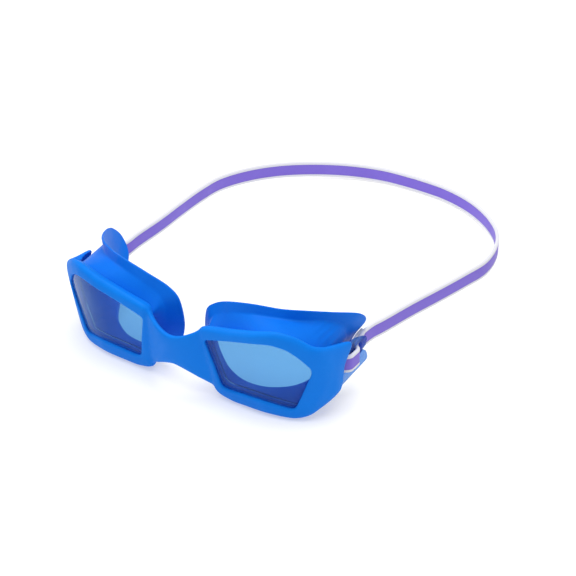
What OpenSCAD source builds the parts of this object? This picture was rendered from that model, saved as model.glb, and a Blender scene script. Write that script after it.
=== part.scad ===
// Child-size swim goggles: two soft eye frames with tinted lenses and face seals,
// a nose bridge between them, and a two-tone strap woven through a clip on each side.
// Sizes are in millimetres. X runs across the face, Y runs back to the head, Z is up.
// The left side is the mirror image of the right side.

/* [Eye frames] */
// Lean of the front face, in mm back for each mm down
front_lean = 0.19; // [0.1:0.01:0.25]
// Distance from the middle at which the front face starts to wrap back
wrap_start = 37.4; // [34:0.2:42]
// Strength of the wrap, per mm
wrap_rate = 0.0136; // [0.01:0.0004:0.016]
// Depth of the frame band from front to back
band_depth = 7; // [6:0.5:8]
// Thickness of the temple wing
wing_wall = 1.7; // [1.2:0.1:2]

/* [Lenses] */
// Lens thickness
lens_t = 1.7; // [1.2:0.1:2]
// Depth of the lens behind the front edge of its window
lens_set_back = 1.5; // [1:0.1:2]
// How far the lens edge reaches into the frame
groove_depth = 1.2; // [0.8:0.1:1.4]

/* [Strap] */
// Width of the strap
strap_w = 8.6; // [7.8:0.2:9]
// Thickness of the strap
strap_t = 1.6; // [1.2:0.1:1.7]
// Width of the coloured stripe along the middle of the strap
stripe_w = 5.6; // [4:0.2:6.4]

/* [Strap clips] */
// Thickness of the clip plate
clip_t = 1.5; // [1.2:0.1:1.6]
// Height of the two strap slots
slot_h = 9.6; // [9.4:0.1:10]
// Gap between the two rear fingers
finger_gap = 1.4; // [1:0.2:3]

/* [Hidden] */
$fn = 48;

frame_blue = [0.10, 0.50, 0.93];
lens_blue = [0.25, 0.48, 0.80, 0.55];
clip_blue = [0.15, 0.35, 0.75, 0.6];
stripe_purple = [0.49, 0.43, 0.85];
edge_white = [0.95, 0.95, 0.97];

// The outlines are drawn from a datum on the front face, level with the inner top corner of
// the windows. It lies this far in front of the middle of the whole part and above the floor.
datum_y = -106.26;
datum_z = 33.4;

// Steps along each stretch between two stations of an outline
ring_steps = 3;
// Middle of the lens, from which an outline grows
lens_mid = [40, -9];
skin = 0.05;

// Stations round the right eye: from the inner top corner over the brow, down the temple,
// back along the cheek and up the side of the nose.
// Edge of the window: [x, z] on the front face
WINDOW = [
    [18.0, 0.7], [29.0, 4.4], [40.0, 7.6], [49.5, 9.2], [55.6, 7.2], [59.8, 2.8],
    [63.2, -2.6], [63.3, -6.2], [60.0, -15.6], [56.4, -25.0], [53.8, -26.2],
    [43.0, -24.2], [32.0, -24.4], [25.0, -25.0], [21.6, -23.6], [19.2, -12.5], [16.6, -1.4]
];
// Outer shoulder of the band: [x, z, depth behind the front face]
SHOULDER = [
    [15.5, 6.8, 2.6], [28.5, 10.2, 3], [40.5, 13.7, 3], [50.5, 15.9, 3], [57.5, 14.1, 3], [62.8, 9.7, 2.6],
    [67.0, 5.6, 2.4], [69.5, -5.0, 3], [67.9, -17.2, 2.4], [62.3, -29.3, 1.4], [55.3, -32.6, 1.4],
    [43.5, -32.9, 2.6], [32.0, -33.3, 3], [24.0, -33.1, 3], [16.4, -29.3, 2.6], [14.2, -12.5, 2.6], [13.0, 3.6, 2.6]
];
// Rear outer edge of the band and of the temple wing: [x, y, z]
REAR = [
    [15.6, 5.6, 4.6], [28.5, 5.4, 7.7], [40.5, 5.0, 11.1], [50.5, 6.6, 13.1], [58.0, 10.0, 10.6], [64.4, 15.8, 5.2],
    [70.2, 32.8, 0.5], [70.2, 27.8, -8.4], [69.8, 25.6, -19.8], [63.6, 20.0, -28.0], [55.4, 16.0, -31.5],
    [43.5, 13.6, -32.2], [32.0, 13.2, -32.6], [24.0, 13.2, -32.4], [17.4, 12.4, -28.4], [15.4, 8.9, -12.5], [14.1, 5.8, 1.4]
];
// Stations whose rear edge belongs to the temple wing
WING = [6, 7, 8];

// Rim of the face seal, where it flares out: [x, y, z]
SEAL_RIM = [
    [12.3, 14.2, 10.1], [21.0, 11.4, 15.4], [33.0, 12.0, 18.0], [44.5, 16.6, 17.0], [53.5, 21.8, 16.4], [61.0, 31.8, 12.8],
    [66.8, 43.8, 7.6], [66.4, 50.6, 0.3], [61.8, 49.5, -8.0], [58.5, 41.0, -18.0], [52.0, 27.0, -28.0],
    [43.0, 20.0, -31.4], [32.0, 17.0, -31.8], [21.0, 16.0, -30.2], [10.2, 16.8, -23.5], [5.7, 16.6, -10.0], [7.1, 15.4, 4.0]
];
// Edge of the eye opening at the back of the seal: [x, y, z]
EYE_EDGE = [
    [17.0, 12.8, 5.0], [25.0, 12.6, 9.0], [34.0, 14.2, 11.0], [43.5, 18.0, 10.4], [50.5, 24.0, 8.0], [54.5, 29.5, 3.8],
    [57.2, 33.4, -2.0], [57.6, 34.0, -8.0], [57.0, 32.5, -15.6], [53.4, 28.2, -21.4], [47.4, 22.6, -24.2],
    [39.0, 17.4, -25.2], [31.0, 15.8, -25.6], [24.4, 15.0, -24.0], [18.8, 14.4, -19.3], [15.0, 13.2, -9.0], [15.0, 12.8, 0.0]
];
seal_lip_t = 1.3;

// Middle of the strap from the clip round the back of the head to the midline: [x, y, z]
LOOP = [
    [65.95, 50.2, -8.5], [66.1, 57.0, -8.9], [67.4, 66.0, -9.8], [69.4, 86.0, -12.1], [72.4, 108.0, -14.5],
    [74.7, 128.0, -16.8], [75.6, 146.0, -19.3], [71.5, 165.0, -22.1], [63.2, 182.4, -24.7], [50.5, 196.6, -26.6],
    [35.1, 207.2, -27.9], [17.8, 213.0, -28.4], [0, 214.3, -28.5]
];
// Number of stretches of LOOP that belong to the side arm
arm_spans = 4;
loop_steps = 4;
// Height of the strap's middle where it is woven through the clip
weave_z = -10.9;
// The woven strap is level as far back as this, then it rises towards the arm by this slope
weave_level_end = 45;
weave_rise = 0.48;
// Strap's way through the clip, seen from above, from the arm over the middle bar and back inside: [x, y]
WEAVE = [
    [65.95, 50.0], [65.95, 45.4], [66.25, 43.3], [67.65, 41.3], [69.25, 39.8], [69.5, 37.8], [69.5, 35.2],
    [69.25, 33.4], [67.75, 31.8], [66.0, 30.9], [64.7, 31.9], [64.25, 34.0], [64.2, 41.0], [64.2, 47.2]
];
// Loose tail of the strap, behind the weave: [x, y, z]
TAIL = [[64.2, 47.5, -9.8], [64.2, 48.8, -9.6], [64.25, 50.2, -9.4], [64.25, 51.5, -9.2]];

// ---- shape functions ----

function wrap_back(x) = x > wrap_start ? wrap_rate * pow(x - wrap_start, 2) : 0;
function face_y(x, z) = wrap_back(x) - front_lean * z;
function on_face(p, depth) = [p[0], face_y(p[0], p[1]) + depth, p[1]];
function grow(p, d) = p + d * (p - lens_mid) / norm(p - lens_mid);
function mix_points(a, b, k) = [for (i = [0 : len(a) - 1]) a[i] * (1 - k) + b[i] * k];
function flat(rings) = [for (r = rings) for (p = r) p];

// Smooth curve between p1 and p2; the pull sets how far it rounds past its stations
function curve_point(p0, p1, p2, p3, t, pull) =
    let (a = pull * (p2 - p0), b = pull * (p3 - p1))
    p1 * (1 + t * t * (2 * t - 3)) + p2 * t * t * (3 - 2 * t)
    + a * t * pow(1 - t, 2) + b * t * t * (t - 1);
function closed_curve(pts, pull) =
    let (n = len(pts))
    [for (i = [0 : n - 1]) for (s = [0 : ring_steps - 1])
        curve_point(pts[(i + n - 1) % n], pts[i], pts[(i + 1) % n], pts[(i + 2) % n], s / ring_steps, pull)];
function open_curve(pts, steps) =
    let (n = len(pts))
    concat([for (i = [0 : n - 2]) for (s = [0 : steps - 1])
        curve_point(pts[max(i - 1, 0)], pts[i], pts[i + 1], pts[min(i + 2, n - 1)], s / steps, 0.5)],
        [pts[n - 1]]);

// Triangles between ring a and ring b of n points each
function band_faces(a, b, n) =
    [for (i = [0 : n - 1]) let (j = (i + 1) % n) each [[a * n + i, a * n + j, b * n + j], [a * n + i, b * n + j, b * n + i]]];

// Solid round a hole: closed rings, the last one joined to the first
module hollow_loft(rings) {
    n = len(rings[0]);
    m = len(rings);
    polyhedron(flat(rings), [for (k = [0 : m - 1]) each band_faces(k, (k + 1) % m, n)], convexity = 8);
}

// Solid plate: rings from the middle of the front, over the edge, to the middle of the back
module plate_loft(rings, front_mid, back_mid) {
    n = len(rings[0]);
    m = len(rings);
    polyhedron(
        concat(flat(rings), [front_mid, back_mid]),
        concat(
            [for (k = [0 : m - 2]) each band_faces(k, k + 1, n)],
            [for (i = [0 : n - 1]) [n * m, (i + 1) % n, i]],
            [for (i = [0 : n - 1]) [n * m + 1, (m - 1) * n + i, (m - 1) * n + (i + 1) % n]]
        ),
        convexity = 4
    );
}

// Bar along a row of sections, capped flat at both ends
module bar_loft(rings) {
    n = len(rings[0]);
    m = len(rings);
    polyhedron(
        flat(rings),
        concat(
            [for (k = [0 : m - 2]) each band_faces(k, k + 1, n)],
            [[for (i = [n - 1 : -1 : 0]) i]],
            [[for (i = [0 : n - 1]) (m - 1) * n + i]]
        ),
        convexity = 8
    );
}

// Level strip on edge that follows a path, from height lo to height hi about the path
function strip_sections(path, lo, hi, thick) =
    let (n = len(path))
    [for (i = [0 : n - 1])
        let (d = path[min(i + 1, n - 1)] - path[max(i - 1, 0)],
            side = [d[1], -d[0], 0] / norm([d[0], d[1]]) * thick / 2,
            low = [0, 0, lo],
            high = [0, 0, hi])
        [path[i] + side + low, path[i] + side + high, path[i] - side + high, path[i] - side + low]];

module strip(path, lo, hi, thick) {
    bar_loft(strip_sections(path, lo, hi, thick));
}
module stripe_along(path) {
    color(stripe_purple) strip(path, -stripe_w / 2, stripe_w / 2, strap_t);
}
module edges_along(path) {
    color(edge_white) {
        strip(path, stripe_w / 2 + skin, strap_w / 2, strap_t);
        strip(path, -strap_w / 2, -stripe_w / 2 - skin, strap_t);
    }
}

module at_datum() {
    translate([0, datum_y, datum_z]) children();
}
module mirrored() {
    mirror([1, 0, 0]) children();
}

// ---- eye frame ----

function is_wing(i) = len(search(i, WING)) > 0;
function inward(p, d) = let (g = grow([p[0], p[2]], -d)) [g[0], p[1], g[1]];
// Inner rear edge: straight in from the wing's skin, or a step along the rear face
function rear_inner(i) = is_wing(i) ? REAR[i] + [-wing_wall, 0, 0] : inward(REAR[i], 2);
// Foot of the pocket between the wing and the lens seat
function pocket_foot(i) =
    let (g = grow(WINDOW[i], 2.4))
    on_face(g, is_wing(i) ? band_depth - 0.5 : min(REAR[i][1] - face_y(g[0], g[1]), band_depth));
// The wing's skin bulges a little between the shoulder and the rear edge, and its top edge dips
WING_BULGE = [0.6, 0, -0.9];
function wing_mid_out(i) =
    let (s = on_face([SHOULDER[i][0], SHOULDER[i][1]], SHOULDER[i][2]))
    s * 0.5 + REAR[i] * 0.5 + (is_wing(i) ? WING_BULGE : [0, 0, 0]);
function wing_mid_in(i) =
    is_wing(i) ? wing_mid_out(i) + [-wing_wall, 0.4, 0] : (rear_inner(i) + pocket_foot(i)) / 2;

seat_front = lens_set_back;
seat_back = lens_set_back + lens_t;
last = len(WINDOW) - 1;
frame_rings = [
    [for (p = WINDOW) on_face(p, 0.6)],
    [for (p = WINDOW) on_face(grow(p, 0.9), 0)],
    [for (i = [0 : last]) let (s = SHOULDER[i], g = grow([s[0], s[1]], -1.8)) on_face(g, 0.5 * s[2] - 0.7)],
    [for (s = SHOULDER) on_face([s[0], s[1]], s[2])],
    [for (i = [0 : last]) wing_mid_out(i)],
    REAR,
    [for (i = [0 : last]) rear_inner(i)],
    [for (i = [0 : last]) wing_mid_in(i)],
    [for (i = [0 : last]) pocket_foot(i)],
    [for (p = WINDOW) on_face(p, seat_back + 1.6)],
    [for (p = WINDOW) on_face(p, seat_back)],
    [for (p = WINDOW) on_face(grow(p, groove_depth), seat_back)],
    [for (p = WINDOW) on_face(grow(p, groove_depth), seat_front)],
    [for (p = WINDOW) on_face(p, seat_front)]
];
// Window rings keep tight corners; outer rings are rounder
frame_pull = [0.25, 0.25, 0.4, 0.4, 0.4, 0.4, 0.4, 0.4, 0.3, 0.25, 0.25, 0.25, 0.25, 0.25];

module frame_side() {
    color(frame_blue) at_datum()
        hollow_loft([for (k = [0 : len(frame_rings) - 1]) closed_curve(frame_rings[k], frame_pull[k])]);
}

// ---- lens ----

// Lens outline shrunk to a share of its full size about the lens middle
function lens_ring(share, depth) =
    closed_curve([for (p = WINDOW) let (g = grow(p, groove_depth - skin))
        on_face(lens_mid + (g - lens_mid) * share, depth)], 0.25);

module lens_side() {
    shares = [0.35, 0.7, 1];
    front = seat_front + skin;
    back = seat_back - skin;
    color(lens_blue) at_datum()
        plate_loft(
            concat([for (s = shares) lens_ring(s, front)], [for (i = [2 : -1 : 0]) lens_ring(shares[i], back)]),
            on_face(lens_mid, front),
            on_face(lens_mid, back)
        );
}

// ---- face seal ----

// Front of the seal, pressed against the back of the frame round the lens
seal_front_out = [for (i = [0 : last]) pocket_foot(i) + [0, 2 * skin, 0]];
seal_front_in = [for (i = [0 : last]) let (g = grow(WINDOW[i], 0.6))
    [g[0], max(on_face(g, seat_back + 2.6)[1], seal_front_out[i][1] - 1.2), g[1]]];
seal_rim_back = [for (p = SEAL_RIM) inward(p, 0.4) + [0, seal_lip_t, 0]];
// Outer foot of the flare, in front of the middle of the flange, and the waist between it and the frame
// Share of the way from the rim to the eye opening; the lip is broader beside the temple
function lip_share(i) = i >= 5 && i <= 8 ? 0.4 : 0.6;
seal_flare = [for (i = [0 : last]) SEAL_RIM[i] * (1 - lip_share(i)) + EYE_EDGE[i] * lip_share(i) + [0, -2.2, 0]];
seal_waist_out = mix_points(seal_front_out, seal_flare, 0.62);
seal_waist_in = [for (p = mix_points(seal_front_in, EYE_EDGE, 0.6)) p + [0, -0.4, 0]];
seal_rings = [
    seal_front_out,
    seal_waist_out,
    seal_flare,
    SEAL_RIM,
    seal_rim_back,
    mix_points(seal_rim_back, EYE_EDGE, 0.5),
    EYE_EDGE,
    seal_waist_in,
    seal_front_in
];
seal_pull = [0.3, 0.45, 0.45, 0.45, 0.45, 0.45, 0.45, 0.45, 0.3];

module gasket_side() {
    color(frame_blue) at_datum()
        hollow_loft([for (k = [0 : len(seal_rings) - 1]) closed_curve(seal_rings[k], seal_pull[k])]);
}

// ---- nose bridge ----

bridge_gap = 0.6;
bridge_top = -2.1;
bridge_bottom = -18.6;
bridge_top_end = 5.2;
bridge_bottom_end = -27.4;
// Thickness in the middle and beside a frame
bridge_t = 3.4;
bridge_t_end = 4.6;
// How far the middle stands in front of the frames, and how far the top falls at the back beside a frame
bridge_arch = 3.6;
bridge_drop = 3.5;
bridge_steps = 8;
// Side of the nose on the frame band, seen from the front
function nose_side_x(z) = z > -12.5
    ? 14.2 + (z + 12.5) * (13.0 - 14.2) / 16
    : 14.2 - (z + 12.5) * (16.4 - 14.2) / 16.8;
// Section of the bridge at share u of the way from the middle to the right frame
function bridge_section(u) =
    let (ease = u * u,
        top = bridge_top + (bridge_top_end - bridge_top) * pow(abs(u), 1.7),
        bottom = bridge_bottom + (bridge_bottom_end - bridge_bottom) * pow(abs(u), 1.6),
        thick = bridge_t + (bridge_t_end - bridge_t) * ease)
    [for (k = [0 : 15])
        let (a = k * 22.5,
            c = cos(a),
            s = sin(a),
            rearward = (1 - sign(c) * pow(abs(c), 0.6)) / 2,
            flat_z = (top + bottom) / 2 + (top - bottom) / 2 * sign(s) * pow(abs(s), 0.6),
            z = flat_z - bridge_drop * ease * rearward * max(s, 0),
            x = u * (nose_side_x(z) - bridge_gap),
            y = face_y(x, z) + 0.5 * ease - bridge_arch * (1 - ease) + thick * rearward)
        [x, y, z]];

module nose_bridge() {
    color(frame_blue) at_datum()
        bar_loft([for (i = [-bridge_steps : bridge_steps]) bridge_section(i / bridge_steps)]);
}

// ---- strap clip ----

clip_inner_x = 66.9;
clip_front_y = 20;
clip_bend_y = 28.5;
clip_end_y = 50;
clip_top = -1.9;
clip_bottom = -19.3;
front_slot = [29.4, 34.4];
rear_slot = [38.8, 43.8];
notch_z = -11.2;
notch_low = notch_z - finger_gap / 2;
notch_high = notch_z + finger_gap / 2;
// Side outline from the front foot over the top to the two fingers: [y, z, corner radius]
CLIP_OUTLINE = [
    [clip_front_y, -15, 1], [clip_front_y, -6, 1], [clip_bend_y - 1, clip_top, 2], [39, clip_top, 3],
    [49.6, -6, 2.6], [48.4, notch_high, 1.8], [rear_slot[1] - 1, notch_high, 0],
    [rear_slot[1] - 1, notch_low, 0], [48, notch_low, 2.4], [50.8, clip_bottom + 1, 3],
    [rear_slot[0] - 1, clip_bottom, 3], [clip_bend_y - 2, clip_bottom - 1, 2]
];
function toward(a, b, r) = a + (b - a) * r / norm(b - a);
// Outline with each corner rounded by a short curve
function rounded(pts) =
    let (n = len(pts), xy = [for (p = pts) [p[0], p[1]]])
    [for (i = [0 : n - 1])
        let (r = pts[i][2], a = toward(xy[i], xy[(i + n - 1) % n], r), b = toward(xy[i], xy[(i + 1) % n], r))
        each r == 0 ? [xy[i]] : [for (t = [0 : 0.2 : 1]) a * pow(1 - t, 2) + xy[i] * 2 * t * (1 - t) + b * t * t]];

module clip_side() {
    color(clip_blue) at_datum() difference() {
        intersection() {
            translate([0, 0, clip_bottom - 2]) linear_extrude(clip_top - clip_bottom + 4) polygon([
                [clip_inner_x, clip_end_y + 1], [clip_inner_x, clip_bend_y], [65.1, clip_front_y - 1],
                [65.1 + clip_t, clip_front_y - 1], [clip_inner_x + clip_t, clip_bend_y],
                [clip_inner_x + clip_t, clip_end_y + 1]
            ]);
            translate([60, 0, 0]) rotate([90, 0, 90]) linear_extrude(12) polygon(rounded(CLIP_OUTLINE));
        }
        for (slot = [front_slot, rear_slot])
            translate([60, slot[0], weave_z - slot_h / 2]) cube([12, slot[1] - slot[0], slot_h]);
    }
}

// ---- strap ----

loop_path = open_curve(LOOP, loop_steps);
split = arm_spans * loop_steps;
// The arm stops just short of the rear band
arm_path = concat([for (i = [0 : split - 1]) loop_path[i]], [loop_path[split - 1] * 0.06 + loop_path[split] * 0.94]);
side_path = [for (i = [split : len(loop_path) - 1]) loop_path[i]];
rear_path = concat(
    side_path,
    [for (i = [len(side_path) - 2 : -1 : 0]) [-side_path[i][0], side_path[i][1], side_path[i][2]]]
);
weave_path = open_curve([for (p = WEAVE) [p[0], p[1], weave_z + weave_rise * max(p[1] - weave_level_end, 0)]], 2);
tail_path = open_curve(TAIL, 2);

// ---- nodes ----

module frame_left() { mirrored() frame_side(); }
module frame_right() { frame_side(); }
module lens_left() { mirrored() lens_side(); }
module lens_right() { lens_side(); }
module gasket_left() { mirrored() gasket_side(); }
module gasket_right() { gasket_side(); }
module strap_clip_left() { mirrored() clip_side(); }
module strap_clip_right() { clip_side(); }
module strap_wrap_stripe_left() { mirrored() at_datum() stripe_along(weave_path); }
module strap_wrap_stripe_right() { at_datum() stripe_along(weave_path); }
module strap_wrap_edges_left() { mirrored() at_datum() edges_along(weave_path); }
module strap_wrap_edges_right() { at_datum() edges_along(weave_path); }
module strap_tail_stripe_left() { mirrored() at_datum() stripe_along(tail_path); }
module strap_tail_stripe_right() { at_datum() stripe_along(tail_path); }
module strap_tail_edges_left() { mirrored() at_datum() edges_along(tail_path); }
module strap_tail_edges_right() { at_datum() edges_along(tail_path); }
module strap_arm_stripe_left() { mirrored() at_datum() stripe_along(arm_path); }
module strap_arm_stripe_right() { at_datum() stripe_along(arm_path); }
module strap_arm_edges_left() { mirrored() at_datum() edges_along(arm_path); }
module strap_arm_edges_right() { at_datum() edges_along(arm_path); }
module strap_rear_stripe() { at_datum() stripe_along(rear_path); }
module strap_rear_edges() { at_datum() edges_along(rear_path); }

nose_bridge();
frame_left();
frame_right();
lens_left();
lens_right();
gasket_left();
gasket_right();
strap_clip_left();
strap_clip_right();
strap_wrap_stripe_left();
strap_wrap_stripe_right();
strap_wrap_edges_left();
strap_wrap_edges_right();
strap_tail_stripe_left();
strap_tail_stripe_right();
strap_tail_edges_left();
strap_tail_edges_right();
strap_arm_stripe_left();
strap_arm_stripe_right();
strap_arm_edges_left();
strap_arm_edges_right();
strap_rear_stripe();
strap_rear_edges();
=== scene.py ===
# %% [markdown]
# # Swim goggles, ready for the shelf
# Two soft blue eye frames hold tinted lenses. A moulded bridge joins them, a flared seal sits
# behind each one, and a purple strap with white edges runs from clip to clip round the head.
# The moving frame comes first: the lenses, seals, clips, woven strap parts and rear band
# ride on its bodies, and the sizes and places all start from that frame.

import math

import bmesh
import bpy
import numpy as np
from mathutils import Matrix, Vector


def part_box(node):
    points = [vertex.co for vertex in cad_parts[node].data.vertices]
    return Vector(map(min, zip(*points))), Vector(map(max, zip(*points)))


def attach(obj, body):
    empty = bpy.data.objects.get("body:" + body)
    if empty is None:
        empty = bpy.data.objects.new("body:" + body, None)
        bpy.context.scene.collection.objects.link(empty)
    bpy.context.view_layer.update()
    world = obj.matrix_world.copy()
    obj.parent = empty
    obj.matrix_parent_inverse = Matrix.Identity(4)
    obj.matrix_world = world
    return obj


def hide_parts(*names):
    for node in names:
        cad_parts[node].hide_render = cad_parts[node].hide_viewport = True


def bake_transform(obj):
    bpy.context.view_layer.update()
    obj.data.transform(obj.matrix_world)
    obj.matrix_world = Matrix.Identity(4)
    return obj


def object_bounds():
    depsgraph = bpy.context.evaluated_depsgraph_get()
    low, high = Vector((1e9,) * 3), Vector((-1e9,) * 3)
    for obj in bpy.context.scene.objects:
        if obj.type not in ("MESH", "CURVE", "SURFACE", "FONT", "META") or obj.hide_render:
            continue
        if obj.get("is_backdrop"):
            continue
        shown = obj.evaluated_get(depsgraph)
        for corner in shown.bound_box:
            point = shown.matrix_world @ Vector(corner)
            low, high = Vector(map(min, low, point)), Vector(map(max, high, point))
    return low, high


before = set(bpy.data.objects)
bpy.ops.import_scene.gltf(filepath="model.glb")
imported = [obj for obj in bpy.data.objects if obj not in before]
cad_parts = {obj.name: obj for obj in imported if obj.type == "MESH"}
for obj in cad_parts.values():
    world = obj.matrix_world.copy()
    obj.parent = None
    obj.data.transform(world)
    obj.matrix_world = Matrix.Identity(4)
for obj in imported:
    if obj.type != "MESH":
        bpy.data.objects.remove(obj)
cad_low, cad_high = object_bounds()
MM = 0.001
SIDES = {"right": 1, "left": -1}
print("frame size in mm:", [round(v / MM, 1) for v in cad_high - cad_low])

# %% [markdown]
# ## Outlines of one eye
# A goggle frame is drawn as a few closed outlines: the window, the outer shoulder and the rear
# edge, and behind them the rim and the opening of the seal. Seventeen stations run round the
# right eye, from the inner top corner over the brow, down the temple, back along the cheek and
# up the side of the nose. One list for each outline is easier to change than a finished mesh.

# %% Stations of the outlines, in millimetres
# Window: x and height on the front face
WINDOW = [
    (18.0, 0.7), (29.0, 4.4), (40.0, 7.6), (49.5, 9.2), (55.6, 7.2), (59.8, 2.8), (63.2, -2.6),
    (63.3, -6.2), (60.0, -15.6), (56.4, -25.0), (53.8, -26.2), (43.0, -24.2), (32.0, -24.4),
    (25.0, -25.0), (21.6, -23.6), (19.2, -12.5), (16.6, -1.4),
]
# Outer shoulder: x, height, and depth behind the front face
SHOULDER = [
    (15.5, 6.8, 2.6), (28.5, 10.2, 3), (40.5, 13.7, 3), (50.5, 15.9, 3), (57.5, 14.1, 3),
    (62.8, 9.7, 2.6), (67.0, 5.6, 2.4), (69.5, -5.0, 3), (67.9, -17.2, 2.4), (62.3, -29.3, 1.4),
    (55.3, -32.6, 1.4), (43.5, -32.9, 2.6), (32.0, -33.3, 3), (24.0, -33.1, 3), (16.4, -29.3, 2.6),
    (14.2, -12.5, 2.6), (13.0, 3.6, 2.6),
]
# Rear outer edge of the band and of the temple wing: x, y, z
REAR = [
    (15.6, 5.6, 4.6), (28.5, 5.4, 7.7), (40.5, 5.0, 11.1), (50.5, 6.6, 13.1), (58.0, 10.0, 10.6),
    (64.4, 15.8, 5.2), (70.2, 32.8, 0.5), (70.2, 27.8, -8.4), (69.8, 25.6, -19.8),
    (63.6, 20.0, -28.0), (55.4, 16.0, -31.5), (43.5, 13.6, -32.2), (32.0, 13.2, -32.6),
    (24.0, 13.2, -32.4), (17.4, 12.4, -28.4), (15.4, 8.9, -12.5), (14.1, 5.8, 1.4),
]
WING = (6, 7, 8)
# Rim of the seal, and the edge of its eye opening: x, y, z
SEAL_RIM = [
    (12.3, 14.2, 10.1), (21.0, 11.4, 15.4), (33.0, 12.0, 18.0), (44.5, 16.6, 17.0),
    (53.5, 21.8, 16.4), (61.0, 31.8, 12.8), (66.8, 43.8, 7.6), (66.4, 50.6, 0.3),
    (61.8, 49.5, -8.0), (58.5, 41.0, -18.0), (52.0, 27.0, -28.0), (43.0, 20.0, -31.4),
    (32.0, 17.0, -31.8), (21.0, 16.0, -30.2), (10.2, 16.8, -23.5), (5.7, 16.6, -10.0),
    (7.1, 15.4, 4.0),
]
EYE_EDGE = [
    (17.0, 12.8, 5.0), (25.0, 12.6, 9.0), (34.0, 14.2, 11.0), (43.5, 18.0, 10.4), (50.5, 24.0, 8.0),
    (54.5, 29.5, 3.8), (57.2, 33.4, -2.0), (57.6, 34.0, -8.0), (57.0, 32.5, -15.6),
    (53.4, 28.2, -21.4), (47.4, 22.6, -24.2), (39.0, 17.4, -25.2), (31.0, 15.8, -25.6),
    (24.4, 15.0, -24.0), (18.8, 14.4, -19.3), (15.0, 13.2, -9.0), (15.0, 12.8, 0.0),
]
window, shoulder, rear, seal_rim, eye_edge = map(np.array, (WINDOW, SHOULDER, REAR, SEAL_RIM, EYE_EDGE))
LENS_MID = np.array([40, -9])
FACE_LEAN = 0.19
WRAP_START, WRAP_RATE = 37.4, 0.0136
SEAT_FRONT, SEAT_BACK, BAND_DEPTH = 1.5, 3.2, 7
GROOVE = 1.15


def face_y(x, z):
    """How far back the front face lies: it leans, and wraps back towards the temple."""
    return WRAP_RATE * np.maximum(x - WRAP_START, 0) ** 2 - FACE_LEAN * z


def on_face(flat, depth):
    """Points on the front face, sunk by a depth."""
    x, z = flat[:, 0], flat[:, 1]
    return np.stack([x, face_y(x, z) + depth, z], 1)


def grow(flat, by):
    """An outline grown away from the middle of the lens."""
    away = flat - LENS_MID
    return flat + by * away / np.linalg.norm(away, axis=1, keepdims=True)


def inward(points, by):
    """An outline in space drawn in towards the middle of the lens at the same depth."""
    flat = grow(points[:, ::2], -by)
    return np.stack([flat[:, 0], points[:, 1], flat[:, 1]], 1)


lens_top = grow(window, GROOVE)[:, 1].max()
lens_low, lens_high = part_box("lens_right")
lens_front = on_face(grow(window, GROOVE), SEAT_FRONT)[:, 1].min()
print("stations per eye:", len(window), " lens top above the datum, mm:", round(lens_top, 2))

# %% [markdown]
# ## From outlines to surfaces
# A smooth curve through the stations gives each ring. Rings are then joined crosswise, and each
# ring turns the corner with its own softness: near 0 it stays a crisp edge, at 1 the surface
# flows past it. Building both directions in code keeps every edge under control, which
# a subdivided cage of so few rings would round away.


# %% Ring and loft helpers
def through(points, pull, steps, closed=True):
    """A smooth curve through the points, with some steps along each stretch."""
    n = len(points)
    order = np.arange(n if closed else n - 1)

    def at(k):
        return points[(order + k) % n if closed else np.clip(order + k, 0, n - 1)]

    p0, p1, p2, p3 = at(-1), at(0), at(1), at(2)
    t = (np.arange(steps) / steps)[None, :, None]
    a, b = pull * (p2 - p0)[:, None], pull * (p3 - p1)[:, None]
    curve = p1[:, None] * (1 + t * t * (2 * t - 3)) + p2[:, None] * t * t * (3 - 2 * t)
    curve = (curve + a * t * (1 - t) ** 2 + b * t * t * (t - 1)).reshape(-1, points.shape[1])
    return curve if closed else np.vstack([curve, points[-1:]])


def soft_rows(rings, softness, turns=5, closed=True):
    """Rows of a surface across the rings: a short curve round each ring, as soft as it says."""
    rows, last = [], len(rings) - 1
    for k, (ring, soft) in enumerate(zip(rings, softness)):
        if not closed and k in (0, last):
            rows.append(ring)
            continue
        before, after = rings[k - 1], rings[(k + 1) % len(rings)]
        a, b = ring + (before - ring) * soft / 2, ring + (after - ring) * soft / 2
        for t in np.linspace(0, 1, turns):
            rows.append(a * (1 - t) ** 2 + ring * 2 * t * (1 - t) + b * t * t)
    return np.array(rows)


def grid_faces(rows, columns, ring_rows=False, ring_columns=True):
    """Four-sided faces of a grid of points, closed in either direction if asked."""
    faces = []
    for k in range(rows if ring_rows else rows - 1):
        for i in range(columns if ring_columns else columns - 1):
            j, m = (i + 1) % columns, (k + 1) % rows
            faces.append((k * columns + i, k * columns + j, m * columns + j, m * columns + i))
    return faces


def end_faces(rows, columns):
    """One many-sided face over the first row of a grid, and one over its last."""
    last = (rows - 1) * columns
    return [tuple(range(columns))[::-1], tuple(range(last, last + columns))]


# The outlines' own zero: the front face at the height of the windows' inner top corners
DATUM = np.array([0, lens_low.y / MM - lens_front, lens_high.z / MM - lens_top])


def new_mesh(name, points, faces, side=1):
    """A mesh from points in millimetres about the datum, on the right or the left side."""
    placed = (np.asarray(points, float) * (side, 1, 1) + DATUM) * MM
    mesh = bpy.data.meshes.new(name)
    mesh.from_pydata(placed.tolist(), [], faces)
    tidy = bmesh.new()
    tidy.from_mesh(mesh)
    bmesh.ops.recalc_face_normals(tidy, faces=tidy.faces)
    tidy.to_mesh(mesh)
    tidy.free()
    mesh.shade_smooth()
    return mesh


def new_piece(name, mesh, finish):
    """A shown piece with its finish."""
    piece = bpy.data.objects.new(name, mesh)
    bpy.context.scene.collection.objects.link(piece)
    piece.data.materials.clear()
    piece.data.materials.append(finish)
    print(f"{name}: {len(mesh.polygons)} faces")
    return piece


# %% [markdown]
# ## Shader sums as plain Python
# Finishes are worked out with sums on noise and masks. Wrapping a node's socket in a small class
# lets those sums be written as ordinary expressions, and each one adds its Math node. One method
# makes every other kind of node, so a finish reads as a recipe.


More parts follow.
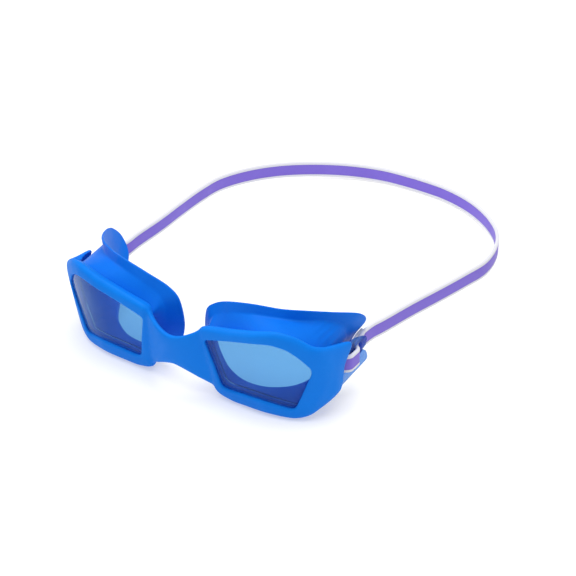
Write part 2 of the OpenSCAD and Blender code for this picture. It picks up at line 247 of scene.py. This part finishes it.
# %% Socket class and finish class
class Amount:
    """A number that changes over a surface, on which ordinary sums can be written."""

    def __init__(self, finish, socket):
        self.finish, self.socket = finish, socket

    def sum(self, operation, *values):
        return self.finish.node("Math", {"operation": operation}, dict(enumerate(values)))

    def __add__(self, other):
        return self.sum("ADD", self, other)

    def __sub__(self, other):
        return self.sum("SUBTRACT", self, other)

    def __rsub__(self, other):
        return self.sum("SUBTRACT", other, self)

    def __mul__(self, other):
        return self.sum("MULTIPLY", self, other)

    def __pow__(self, other):
        return self.sum("POWER", self, other)

    __radd__, __rmul__ = __add__, __mul__


class Finish:
    """A material built from nodes."""

    def __init__(self, name):
        self.material = bpy.data.materials.new(name)
        self.material.use_nodes = True
        self.tree = self.material.node_tree
        self.tree.nodes.clear()

    def node(self, kind, settings=None, sockets=None, out=0):
        """A node of a kind, with its settings and then the values or links of its sockets."""
        made = self.tree.nodes.new("ShaderNode" + kind)
        for key, value in (settings or {}).items():
            if key == "stops":
                for stop, (place, level) in zip(made.color_ramp.elements, value):
                    stop.position, stop.color = place, (level, level, level, 1)
            else:
                setattr(made, key, value)
        for key, value in (sockets or {}).items():
            if isinstance(value, Amount):
                self.tree.links.new(value.socket, made.inputs[key])
            else:
                made.inputs[key].default_value = value
        return Amount(self, made.outputs[out]) if made.outputs else self.material

    def noise(self, scale, detail=2.0, stretch=(1, 1, 1)):
        """Noise on the piece's own coordinates, at a scale per metre."""
        place = self.node("TexCoord", out="Object")
        place = self.node("Mapping", {}, {"Vector": place, "Scale": stretch})
        return self.node("TexNoise", {}, {"Vector": place, "Scale": scale, "Detail": detail})

    def masked(self, source, low, high):
        """A mask that rises from 0 to 1 as its source goes from low to high."""
        return self.node("ValToRGB", {"stops": [(low, 0), (high, 1)]}, {"Fac": source})

    def tint(self, mask, first, second):
        """One colour where the mask is 0, another where it is 1."""
        sockets = {0: mask, 6: (*first, 1), 7: (*second, 1)}
        return self.node("Mix", {"data_type": "RGBA"}, sockets, out=2)

    def bump(self, height, strength, distance):
        return self.node("Bump", {}, {"Height": height, "Strength": strength, "Distance": distance})

    def close(self, shader):
        """Ends the finish with its shader, and gives its material."""
        return self.node("OutputMaterial", {}, {"Surface": shader})

# %% [markdown]
# ## Silicone for the frame and the seal
# The eye frames are moulded in matte blue silicone. Its skin has a very fine grain from
# the mould, a slow drift of colour, and a few rubbed patches that shine a little more. The seal
# is a softer grade of the same blue. Noise at three scales gives all of it, with no pattern
# to line up between pieces.


# %% Silicone finishes
def silicone(name, deep, light, rough, grain):
    """Matte moulded silicone between two close colours."""
    f = Finish(name)
    drift = f.noise(38, 3)
    rubbed = f.masked(f.noise(120, 4), 0.52, 0.72)
    fine = f.noise(2600, 2) * 0.6 + f.noise(900, 3) * 0.4
    speck = f.masked(f.noise(1500, 1), 0.35, 0.65)
    colour_mask = drift * 0.75 + speck * 0.12 + rubbed * 0.1
    return f.close(f.node("BsdfPrincipled", {}, {
        "Base Color": f.tint(colour_mask, deep, light),
        "Roughness": rough - rubbed * 0.09 + speck * 0.04,
        "Normal": f.bump(fine, grain, 0.00006),
        "Specular IOR Level": 0.07,
        "Sheen Weight": 0.01,
        "Sheen Roughness": 0.4,
    }))


FRAME_SILICONE = silicone("frame_silicone", (0.001, 0.155, 0.67), (0.004, 0.21, 0.78), 0.5, 0.35)
SEAL_SILICONE = silicone("seal_silicone", (0.001, 0.125, 0.62), (0.003, 0.175, 0.76), 0.42, 0.2)
STRAP_PURPLE = silicone("strap_purple", (0.19, 0.13, 0.58), (0.24, 0.17, 0.66), 0.45, 0.3)
STRAP_WHITE = silicone("strap_white", (0.66, 0.66, 0.71), (0.76, 0.76, 0.81), 0.42, 0.25)
silicones = (FRAME_SILICONE, SEAL_SILICONE, STRAP_PURPLE, STRAP_WHITE)
print("silicone finishes:", [finish.name for finish in silicones])

# %% [markdown]
# ## Tinted plastic
# The lenses are clear blue polycarbonate, and the clips a darker cast of the same plastic. Thin
# plastic bends light so little that a see-through surface with a gloss coat over it looks right,
# and it lets the lamps light what lies behind. Each lens has two faces, so each face takes half
# of the tint. Faint smears left by water vary the gloss.


# %% Tinted plastic finishes
def tinted(name, pass_colour, body, gloss_share, rough):
    """See-through tinted plastic: what one face lets pass, and the colour of its body."""
    f = Finish(name)
    smear = f.masked(f.noise(160, 4, (1, 1, 0.35)), 0.45, 0.7)
    haze = f.noise(700, 3)
    gloss = f.node("BsdfPrincipled", {}, {
        "Base Color": f.tint(haze, body, tuple(c * 1.25 for c in body)),
        "Roughness": rough + smear * 0.07,
        "Normal": f.bump(smear * 0.7 + haze * 0.3, 0.08, 0.00004),
        "Specular IOR Level": 0.6,
        "Coat Roughness": 0.03,
    })
    clear = f.node("BsdfTransparent", {}, {"Color": (*pass_colour, 1)})
    slant = f.node("LayerWeight", {}, {"Blend": 0.5}, out=1) ** 4
    share = slant * (1 - gloss_share) + gloss_share
    return f.close(f.node("MixShader", {}, {0: share, 1: clear, 2: gloss}))


LENS_TINT = tinted("lens_tint", (0.38, 0.64, 0.84), (0.09, 0.22, 0.50), 0.12, 0.04)
CLIP_TINT = tinted("clip_tint", (0.42, 0.62, 0.90), (0.03, 0.10, 0.36), 0.16, 0.08)
print("tinted finishes:", LENS_TINT.name, CLIP_TINT.name)

# %% [markdown]
# ## Eye frame
# One eye frame is a soft band round a window: a thin front lip, a groove for the lens, a rounded
# shoulder, and at the temple a long wing that reaches back to the strap clip. Its rings run
# from the front lip over the shoulder to the rear edge and back inside to the groove.

# %% Rings of the eye frame
WING_WALL, REAR_WALL = 1.7, 2  # thickness at the temple wing, and elsewhere along the rear edge
WING_BULGE = np.array([0.6, 0, -0.9])  # how far the middle of the wing stands off a straight line
FOOT_OUT = 2.4  # how far the foot of the pocket lies outside the window
FRONT_IN = 1.8  # how far the front edge lies inside the shoulder
LIP_DEPTH, LIP_WIDTH, FRONT_LIFT = 0.7, 0.8, 0.75
SEAT_WALL, FOOT_LIFT = 1.6, 0.5
RING_STEPS = 14
is_wing = np.isin(np.arange(len(window)), WING)[:, None]
band_side = on_face(shoulder[:, :2], shoulder[:, 2:].ravel())
wing_middle = (band_side + rear) / 2 + is_wing * WING_BULGE
rear_inside = np.where(is_wing, rear + np.array([-WING_WALL, 0, 0]), inward(rear, REAR_WALL))
foot_flat = grow(window, FOOT_OUT)
foot_depth = np.minimum(rear[:, 1] - face_y(foot_flat[:, 0], foot_flat[:, 1]), BAND_DEPTH)
pocket_foot = on_face(foot_flat, np.where(is_wing.ravel(), BAND_DEPTH - FOOT_LIFT, foot_depth))
inner_wall = wing_middle + np.array([-WING_WALL, 0.4, 0])
wing_inside = np.where(is_wing, inner_wall, (rear_inside + pocket_foot) / 2)
front_flat = grow(shoulder[:, :2], -FRONT_IN)
FRAME_RINGS = [  # ring, how round it runs, how soft its corner is
    (on_face(window, LIP_DEPTH), 0.25, 0.5),
    (on_face(grow(window, LIP_WIDTH), 0.0), 0.25, 0.6),
    (on_face(front_flat, 0.5 * shoulder[:, 2] - FRONT_LIFT), 0.4, 0.9),
    (band_side, 0.4, 0.8),
    (wing_middle, 0.4, 1),
    (rear, 0.4, 0.35),
    (rear_inside, 0.4, 0.35),
    (wing_inside, 0.4, 1),
    (pocket_foot, 0.3, 0.4),
    (on_face(window, SEAT_BACK + SEAT_WALL), 0.25, 0.2),
    (on_face(window, SEAT_BACK), 0.25, 0.1),
    (on_face(grow(window, GROOVE), SEAT_BACK), 0.25, 0.1),
    (on_face(grow(window, GROOVE), SEAT_FRONT), 0.25, 0.1),
    (on_face(window, SEAT_FRONT), 0.25, 0.1),
]


def closed_rings(table):
    """Every ring of a table as a smooth closed curve, and the softness of each."""
    return [through(ring, pull, RING_STEPS) for ring, pull, _ in table], [soft for *_, soft in table]


frame_rows = soft_rows(*closed_rings(FRAME_RINGS))
print("eye frame grid:", frame_rows.shape[:2])

# %% [markdown]
# ## Nose bridge
# The bridge is moulded in one with both frames: a saddle that is tall where it leaves a frame
# and narrow over the nose. Each half is a row of rounded sections. Half of it is melted into
# its eye frame by a voxel remesh, the joint is relaxed into a smooth fillet, and the piece is
# cut flat at the middle, where the two halves meet.

# %% Half of the bridge
BRIDGE_TOP, BRIDGE_TOP_END = -2.1, 5.6
BRIDGE_BOTTOM, BRIDGE_BOTTOM_END = -18.6, -27.4
BRIDGE_T, BRIDGE_T_END = 3.4, 4.6
TOP_CURVE, BOTTOM_CURVE = 1.7, 1.6  # how late the edges spread towards a frame
ARCH = 3.6  # how far the middle stands in front of the frames
END_SINK = 0.5  # how far its ends lie behind the front face
REAR_DROP = 3.5  # how much lower the top runs at the back, beside a frame
SQUARE = 0.6  # power that squares off the oval section
SECTION_POINTS = 40
SIDE_X, SIDE_Z = 14.2, -12.5  # where the frame's nose side is furthest out
ABOVE, BELOW = (-1.2, 16), (-2.2, 16.8)  # its run in x over a run in height


def nose_side_x(z):
    """Side of the nose on the frame band, seen from the front."""
    up = z - SIDE_Z
    return SIDE_X + np.where(up > 0, ABOVE[0] * up / ABOVE[1], BELOW[0] * up / BELOW[1])


def bridge_section(share):
    """Section at a share of the way from the middle to the frame."""
    ease = abs(share) ** 2
    top = BRIDGE_TOP + (BRIDGE_TOP_END - BRIDGE_TOP) * abs(share) ** TOP_CURVE
    bottom = BRIDGE_BOTTOM + (BRIDGE_BOTTOM_END - BRIDGE_BOTTOM) * abs(share) ** BOTTOM_CURVE
    thick = BRIDGE_T + (BRIDGE_T_END - BRIDGE_T) * ease
    turn = np.linspace(0, 2 * math.pi, SECTION_POINTS, endpoint=False)
    c, s = np.cos(turn), np.sin(turn)
    rearward = (1 - np.sign(c) * abs(c) ** SQUARE) / 2
    z = (top + bottom) / 2 + (top - bottom) / 2 * np.sign(s) * abs(s) ** SQUARE
    z = z - REAR_DROP * ease * rearward * np.maximum(s, 0)
    x = share * nose_side_x(z)
    y = face_y(x, z) + END_SINK * ease - ARCH * (1 - ease) + thick * rearward
    return np.stack([x, y, z], 1)


# The half runs past the middle, where it is cut later, and a little way into the frame
bridge_rows = np.array([bridge_section(s) for s in np.linspace(-0.3, 1.1, 29)])
print("bridge grid:", bridge_rows.shape[:2])

# %% Melting the half bridge into its frame
VOXEL = 0.42 * MM
RELAX_SHARE, RELAX_EVERYWHERE, RELAX_JOINT = 0.5, 3, 30
JOINT_IN, JOINT_CORE, JOINT_REACH = 0.6, 1.2, 4.2  # the fillet beside the nose side of the band
FOOT_Z, FOOT_TOP_Z, FOOT_SHARE = -25, -19, 0.25  # its foot stays crisper than the rest


def join_meshes(name, first, second):
    """Both meshes in one, still as separate shells."""
    both = bmesh.new()
    both.from_mesh(first)
    both.from_mesh(second)
    mesh = bpy.data.meshes.new(name)
    both.to_mesh(mesh)
    both.free()
    return mesh


def remeshed(mesh, voxel):
    """A copy of the mesh as one skin of small even faces."""
    holder = bpy.data.objects.new("holder", mesh)
    bpy.context.scene.collection.objects.link(holder)
    melt = holder.modifiers.new("melt", "REMESH")
    melt.mode, melt.voxel_size, melt.use_smooth_shade = "VOXEL", voxel, True
    skin = bpy.data.meshes.new_from_object(holder.evaluated_get(bpy.context.evaluated_depsgraph_get()))
    bpy.data.objects.remove(holder)
    return skin


def points_of(mesh):
    """The mesh's points as rows of x, y and z."""
    flat = np.empty(len(mesh.vertices) * 3)
    mesh.vertices.foreach_get("co", flat)
    return flat.reshape(-1, 3)


def relax(mesh, share, rounds):
    """Moves each point towards the middle of its neighbours, by its own share."""
    co = points_of(mesh)
    ends = np.empty(len(mesh.edges) * 2, int)
    mesh.edges.foreach_get("vertices", ends)
    a, b = ends.reshape(-1, 2).T
    count = np.bincount(ends, minlength=len(co))[:, None]
    for _ in range(rounds):
        near = np.zeros_like(co)
        for axis in range(3):
            near[:, axis] = np.bincount(a, co[b, axis], len(co)) + np.bincount(b, co[a, axis], len(co))
        co += (near / count - co) * share[:, None]
    mesh.vertices.foreach_set("co", co.ravel())
    mesh.update()


def smooth_step(value, low, high):
    """Rises from 0 to 1 between low and high, level at both ends."""
    t = np.clip((value - low) / (high - low), 0, 1)
    return t * t * (3 - 2 * t)


rows, columns = frame_rows.shape[:2]
band_mesh = new_mesh("band", frame_rows.reshape(-1, 3), grid_faces(rows, columns, ring_rows=True))
rows, columns = bridge_rows.shape[:2]
saddle_faces = grid_faces(rows, columns) + end_faces(rows, columns)
saddle_mesh = new_mesh("saddle", bridge_rows.reshape(-1, 3), saddle_faces)
eye_frame_mesh = remeshed(join_meshes("eye_frame", band_mesh, saddle_mesh), VOXEL)
local = points_of(eye_frame_mesh) / MM - DATUM
relax(eye_frame_mesh, np.full(len(local), RELAX_SHARE), RELAX_EVERYWHERE)
off_joint = abs(local[:, 0] - nose_side_x(local[:, 2]) + JOINT_IN)
crisp_foot = FOOT_SHARE + (1 - FOOT_SHARE) * smooth_step(local[:, 2], FOOT_Z, FOOT_TOP_Z)
in_joint = 1 - smooth_step(off_joint, JOINT_CORE, JOINT_REACH)
relax(eye_frame_mesh, RELAX_SHARE * crisp_foot * in_joint, RELAX_JOINT)
cut = bmesh.new()
cut.from_mesh(eye_frame_mesh)
everything = cut.verts[:] + cut.edges[:] + cut.faces[:]
result = bmesh.ops.bisect_plane(
    cut, geom=everything, plane_co=(0, 0, 0), plane_no=(-1, 0, 0), clear_outer=True
)
rim_edges = [e for e in result["geom_cut"] if isinstance(e, bmesh.types.BMEdge)]
cap = bmesh.ops.contextual_create(cut, geom=rim_edges)["faces"]
for edge in rim_edges:
    edge.smooth = False
cut.to_mesh(eye_frame_mesh)
cut.free()
print("eye frame with half a bridge:", len(eye_frame_mesh.polygons), "faces, caps:", len(cap))


def other_side(mesh, name):
    """The mirror image of a mesh for the left side."""
    twin = mesh.copy()
    twin.name = name
    flip = bmesh.new()
    flip.from_mesh(twin)
    for v in flip.verts:
        v.co.x = -v.co.x
    bmesh.ops.reverse_faces(flip, faces=flip.faces)
    flip.to_mesh(twin)
    flip.free()
    return twin


for side, sign in SIDES.items():
    skin = eye_frame_mesh if sign > 0 else other_side(eye_frame_mesh, "eye_frame_left")
    eye_frame = new_piece(f"eye_frame_{side}", skin, FRAME_SILICONE)
    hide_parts(f"frame_{side}", "nose_bridge")
    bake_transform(eye_frame)

# %% [markdown]
# ## Lens
# Each lens is a thin cast plate that follows the lean and the wrap of the front face. Its edge
# sits in the groove of the frame. Rings drawn in towards the middle of the lens give both faces
# even, well-shaped quads, so that highlights run over it without a ripple.

# %% Lenses
LENS_SHARES = np.array([0.02, 0.2, 0.4, 0.6, 0.8, 0.95, 1])
LENS_PLAY, LENS_DOME, LENS_CORNER = 0.05, 0.35, math.radians(40)
lens_edge = through(grow(window, GROOVE - LENS_PLAY), 0.25, RING_STEPS)
lens_rows = []
for depth, shares in (
    (SEAT_FRONT + LENS_PLAY, LENS_SHARES),
    (SEAT_BACK - LENS_PLAY, LENS_SHARES[::-1]),
):
    for share in shares:
        flat = LENS_MID + (lens_edge - LENS_MID) * share
        dome = -LENS_DOME * (1 - share**2)
        lens_rows.append(on_face(flat, depth + dome))
lens_rows = np.array(lens_rows)
rows, columns = lens_rows.shape[:2]
lens_faces = grid_faces(rows, columns) + end_faces(rows, columns)
for side, sign in SIDES.items():
    mesh = new_mesh("lens", lens_rows.reshape(-1, 3), lens_faces, sign)
    mesh.set_sharp_from_angle(angle=LENS_CORNER)
    lens = new_piece(f"tinted_lens_{side}", mesh, LENS_TINT)
    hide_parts(f"lens_{side}")
    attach(lens, f"{side}_cup")

# %% [markdown]
# ## Face seal
# The seal is a soft skirt: it starts at the back of the band, narrows to a waist, then flares
# into a broad lip that rests on the face round the eye. It is moulded thin, so the waist
# wrinkles a little where the temple pulls on it. The rings follow that section, with a firm
# crease under the lip and soft corners everywhere else.

# %% Rings of the face seal
LIP_T, LIP_IN = 1.3, 0.4  # thickness of the lip, and how far its back edge is drawn in
SEAL_GAP, SEAL_WALL = 0.1, 1.2  # behind the band, and the wall at the front of the seal
MOUTH_OUT, MOUTH_DEPTH = 0.6, 2.6  # the seal's mouth, outside the window and behind the lens
FLARE_FORWARD, INSIDE_FORWARD = 2.2, 0.4
WAIST_SHARE, INSIDE_SHARE = 0.38, 0.4  # how close each waist lies to the front of the seal
TEMPLE = (5, 6, 7, 8)
seal_front = pocket_foot + np.array([0, SEAL_GAP, 0])
inner_flat = grow(window, MOUTH_OUT)
mouth = on_face(inner_flat, SEAT_BACK + MOUTH_DEPTH)[:, 1]
front_depth = np.maximum(mouth, seal_front[:, 1] - SEAL_WALL)
seal_front_inside = np.stack([inner_flat[:, 0], front_depth, inner_flat[:, 1]], 1)
lip_back = inward(seal_rim, LIP_IN) + np.array([0, LIP_T, 0])
# The lip is narrower at the temple than round the rest of the eye
lip_share = np.where(np.isin(np.arange(len(window)), TEMPLE), 0.4, 0.6)[:, None]
flare = seal_rim * (1 - lip_share) + eye_edge * lip_share - np.array([0, FLARE_FORWARD, 0])
waist = seal_front * WAIST_SHARE + flare * (1 - WAIST_SHARE)
waist_inside = seal_front_inside * INSIDE_SHARE + eye_edge * (1 - INSIDE_SHARE)
waist_inside = waist_inside - np.array([0, INSIDE_FORWARD, 0])
SEAL_RINGS = [  # ring, how round it runs, how soft its corner is
    (seal_front, 0.3, 0.3),
    (waist, 0.45, 1),
    (flare, 0.45, 0.4),
    (seal_rim, 0.45, 0.22),
    (lip_back, 0.45, 0.5),
    ((lip_back + eye_edge) / 2, 0.45, 1),
    (eye_edge, 0.45, 0.5),
    (waist_inside, 0.45, 1),
    (seal_front_inside, 0.3, 0.3),
]
seal_rows = soft_rows(*closed_rings(SEAL_RINGS), turns=6)
rows, columns = seal_rows.shape[:2]
FOLDS_AT, FOLDS_REACH = np.array([61, 27, 3]), 7
FOLDS_ACROSS = np.array([0.8, 0, -0.6])
FOLD_DEPTH, FOLD_RATE = 0.3, 2.2


def wrinkled(points):
    """The waist's small folds near the temple, where the wing pulls on the seal."""
    off = points - FOLDS_AT
    near = np.exp(-((off / FOLDS_REACH) ** 2).sum(-1))
    lift = FOLD_DEPTH * near * np.sin(off @ FOLDS_ACROSS * FOLD_RATE)
    return points + lift[:, None] * np.array([0, 0, 1])


seal_points = wrinkled(seal_rows.reshape(-1, 3))
print("face seal grid:", seal_rows.shape[:2])
for side, sign in SIDES.items():
    mesh = new_mesh("seal", seal_points, grid_faces(rows, columns, ring_rows=True), sign)
    seal = new_piece(f"face_seal_{side}", mesh, SEAL_SILICONE)
    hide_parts(f"gasket_{side}")
    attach(seal, f"{side}_cup")

# %% [markdown]
# ## Strap clip
# The clip is a thin plate of tinted plastic behind the wing, with two slots for the strap and
# two rounded fingers. Its outline is already right on the frame, so a copy of that solid
# is remeshed finely and relaxed, which rounds its edges as a mould does.

# %% Strap clips
CLIP_VOXEL, CLIP_RELAX = 0.25 * MM, 5
for side, sign in SIDES.items():
    skin = remeshed(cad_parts[f"strap_clip_{side}"].data.copy(), CLIP_VOXEL)
    relax(skin, np.full(len(skin.vertices), RELAX_SHARE), CLIP_RELAX)
    clip = new_piece(f"moulded_clip_{side}", skin, CLIP_TINT)
    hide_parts(f"strap_clip_{side}")
    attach(clip, f"{side}_cup")

# %% [markdown]
# ## Strap
# The strap is extruded silicone in two colours: a purple band with a white bead along each edge.
# From each clip it runs back along the head, and round behind it. At the clip it
# goes out through one slot, over the middle bar and back in through the other, and ends in
# a short loose tail.

# %% The strap's way, and its section
LOOP = np.array([
    (65.95, 50.2, -8.5), (66.1, 57.0, -8.9), (67.4, 66.0, -9.8), (69.4, 86.0, -12.1),
    (72.4, 108.0, -14.5), (74.7, 128.0, -16.8), (75.6, 146.0, -19.3), (71.5, 165.0, -22.1),
    (63.2, 182.4, -24.7), (50.5, 196.6, -26.6), (35.1, 207.2, -27.9), (17.8, 213.0, -28.4),
    (0, 214.3, -28.5),
])
WEAVE = np.array([
    (65.95, 50.0), (65.95, 45.4), (66.25, 43.3), (67.65, 41.3), (69.25, 39.8), (69.5, 37.8),
    (69.5, 35.2), (69.25, 33.4), (67.75, 31.8), (66.0, 30.9), (64.7, 31.9), (64.25, 34.0),
    (64.2, 41.0), (64.2, 47.2),
])
TAIL = np.array([(64.2, 47.5, -9.8), (64.2, 48.8, -9.6), (64.25, 50.2, -9.4), (64.25, 51.5, -9.2)])
STRAP_W, STRAP_T, STRIPE_W = 8.6, 1.6, 5.6
WEAVE_Z, LEVEL_END, RISE = -10.9, 45, 0.48
ARM_SPANS, SPAN_STEPS = 4, 10
TAIL_BEND = 5  # a step along the tail, whose point is computed but not used
SEAM_CORNER, BEAD_CORNER, SEAM = 0.15, 0.6, 0.04
STRAP_CREASE = math.radians(50)


def rounded_section(low, high, thick, corners):
    """Section of a strip. Its four corners go round from a low one, each with its own radius."""
    half = thick / 2
    spots = [(-half, low), (half, low), (half, high), (-half, high)]
    points = []
    for k, ((x, z), radius) in enumerate(zip(spots, corners)):
        cx, cz = x - math.copysign(radius, x), z + (radius if k < 2 else -radius)
        start = math.pi * (1 + k / 2)
        for t in np.linspace(0, math.pi / 2, 5):
            points.append((cx + radius * math.cos(start + t), cz + radius * math.sin(start + t)))
    return np.array(points)


def swept(path, sections):
    """Meshes' points and faces of one or more sections swept along a path, on edge."""
    run = np.gradient(path, axis=0)
    across = np.stack([run[:, 1], -run[:, 0], np.zeros(len(path))], 1)
    across /= np.linalg.norm(across, axis=1, keepdims=True)
    points, faces = [], []
    for section in sections:
        first, n = sum(map(len, points)), len(section)
        sideways, upright = section[None, :, :1], section[None, :, 1:]
        rows = path[:, None] + across[:, None] * sideways + np.array([0, 0, 1]) * upright
        points.append(rows.reshape(-1, 3))
        strip = grid_faces(len(path), n) + end_faces(len(path), n)
        faces += [tuple(first + v for v in face) for face in strip]
    return np.vstack(points), faces


half_stripe, half_strap = STRIPE_W / 2, STRAP_W / 2
seam_pair, bead_pair = (SEAM_CORNER,) * 2, (BEAD_CORNER,) * 2
STRIPE = [rounded_section(-half_stripe, half_stripe, STRAP_T, seam_pair + seam_pair)]
EDGES = [
    rounded_section(half_stripe + SEAM, half_strap, STRAP_T, seam_pair + bead_pair),
    rounded_section(-half_strap, -half_stripe - SEAM, STRAP_T, bead_pair + seam_pair),
]
COATS = {
    "stripe": (STRIPE, STRAP_PURPLE, "strap_purple"),
    "edges": (EDGES, STRAP_WHITE, "strap_white"),
}


def strap_length(path):
    """Length along a path."""
    return float(np.linalg.norm(np.diff(path, axis=0), axis=1).sum())


# %% Strap pieces
weave_way = through(WEAVE, 0.5, SPAN_STEPS, closed=False)
weave_height = WEAVE_Z + np.maximum(weave_way[:, 1] - LEVEL_END, 0) * RISE
weave_path = np.column_stack([weave_way, weave_height])
loop_path = through(LOOP, 0.5, SPAN_STEPS, closed=False)
tail_path = through(TAIL, 0.5, SPAN_STEPS, closed=False)
arm_end = ARM_SPANS * SPAN_STEPS
arm_middle = arm_end // 2
arm_front, arm_back = loop_path[:arm_middle + 1], loop_path[arm_middle:arm_end + 1]
rear_half = loop_path[arm_end:]
rear_path = np.vstack([rear_half, (rear_half * (-1, 1, 1))[::-1][1:]])
print("strap length between the clips, mm:", round(2 * strap_length(loop_path)))
print("each woven part, mm:", round(strap_length(weave_path)))


def strap_piece(name, coat, path, sign):
    """One stretch of the strap in one of its two coats, on a side or across the middle."""
    sections, finish, slot_name = COATS[coat]
    points, faces = swept(path, sections)
    mesh = new_mesh(name, points, faces, sign)
    mesh.set_sharp_from_angle(angle=STRAP_CREASE)
    return new_piece(f"{name}_{coat}_{'right' if sign > 0 else 'left'}", mesh, finish)


def on_frame(point, sign):
    """A point of a path, in metres in the moving frame, on the right or the left side."""
    return tuple((point * (sign, 1, 1) + DATUM) * MM)


for coat in COATS:
    for side, sign in SIDES.items():
        cup = f"{side}_cup"
        wrap = strap_piece("strap_woven", coat, weave_path, sign)
        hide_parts(f"strap_wrap_{coat}_{side}")
        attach(wrap, cup)
        tail = strap_piece("strap_loose_end", coat, tail_path, sign)
        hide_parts(f"strap_tail_{coat}_{side}")
        ends = (on_frame(tail_path[k], sign) for k in (0, TAIL_BEND))
        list(ends)
        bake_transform(tail)
        for part, path, bodies in (
            ("strap_arm_front", arm_front, (cup, "centre")),
            ("strap_arm_back", arm_back, ("centre", "strap_rear")),
        ):
            arm = strap_piece(part, coat, path, sign)
            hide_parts(f"strap_arm_{coat}_{side}")
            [on_frame(path[k], sign) for k in (0, -1)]
            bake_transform(arm)
    band = strap_piece("strap_rear_band", coat, rear_path, 1)
    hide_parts(f"strap_rear_{coat}")
    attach(band, "strap_rear")

# %% [markdown]
# ## Floor, light and camera
# The goggles lie on a plain pale floor under wide soft lamps: one large
# lamp above and a little in front, one from the side, and an even white room. The camera stands
# in front and to one side, about a third of the way up, with a long lens.

# %% Floor
FLOOR_HALF = 3.0
floor_mesh = bpy.data.meshes.new("floor")
corners = [(x * FLOOR_HALF, y * FLOOR_HALF, 0) for x, y in ((-1, -1), (1, -1), (1, 1), (-1, 1))]
floor_mesh.from_pydata(corners, [], [(0, 1, 2, 3)])
floor = bpy.data.objects.new("floor", floor_mesh)
bpy.context.scene.collection.objects.link(floor)
paper = Finish("pale_floor")
floor_mesh.materials.append(paper.close(paper.node("BsdfPrincipled", {}, {
    "Base Color": paper.tint(paper.noise(6, 2), (0.62, 0.62, 0.62), (0.66, 0.66, 0.66)),
    "Roughness": 0.9,
    "Specular IOR Level": 0.1,
    "Emission Color": (1, 1, 1, 1),
    "Emission Strength": 0.42,
})))
floor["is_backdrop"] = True

# %% Lamps and room
room = bpy.data.worlds.new("room")
room.use_nodes = True
room.node_tree.nodes["Background"].inputs["Color"].default_value = (1, 1, 1, 1)
room.node_tree.nodes["Background"].inputs["Strength"].default_value = 0.55
bpy.context.scene.world = room
bpy.context.scene.view_settings.view_transform = "Standard"
middle = (cad_low + cad_high) / 2
LAMPS = {  # place about the middle, width, power in watts
    "above": ((0.1, -0.1, 0.9), 0.9, 7.8),
    "left": ((-0.9, -0.3, 0.5), 0.5, 2.2),
}
for name, (place, width, power) in LAMPS.items():
    lamp_data = bpy.data.lights.new(name, "AREA")
    lamp_data.shape, lamp_data.size, lamp_data.energy = "DISK", width, power
    lamp = bpy.data.objects.new(name, lamp_data)
    bpy.context.scene.collection.objects.link(lamp)
    lamp.location = middle + Vector(place)
    lamp.rotation_euler = (middle - lamp.location).to_track_quat("-Z", "Y").to_euler()
print("lamps:", list(LAMPS))

# %% Camera
AIM = np.array([36.64, 34.90, 15.13])
AZIMUTH, ELEVATION, ROLL = math.radians(32.716), math.radians(32.276), math.radians(0.06)
DISTANCE, FOCAL = 787.0, 114.81
camera_data = bpy.data.cameras.new("camera")
camera_data.lens, camera_data.sensor_width = FOCAL, 36
camera_data.clip_start, camera_data.clip_end = 0.05, 20
camera = bpy.data.objects.new("camera", camera_data)
bpy.context.scene.collection.objects.link(camera)
level = math.cos(ELEVATION)
back = Vector((math.sin(AZIMUTH) * level, -math.cos(AZIMUTH) * level, math.sin(ELEVATION)))
camera.location = Vector((AIM + DATUM) * MM) + back * DISTANCE * MM
camera.rotation_euler = (-back).to_track_quat("-Z", "Y").to_euler()
camera.rotation_euler.rotate_axis("Z", ROLL)
bpy.context.scene.camera = camera
print("camera stands at, mm:", [round(v / MM) for v in camera.location])

# %% Boxes of the frame and of the finished goggles
shown_low, shown_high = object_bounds()
past = [round((a - b) / MM, 2) for a, b in zip((*shown_low, *shown_high), (*cad_low, *cad_high))]
print("finished pieces less frame, mm:", past)
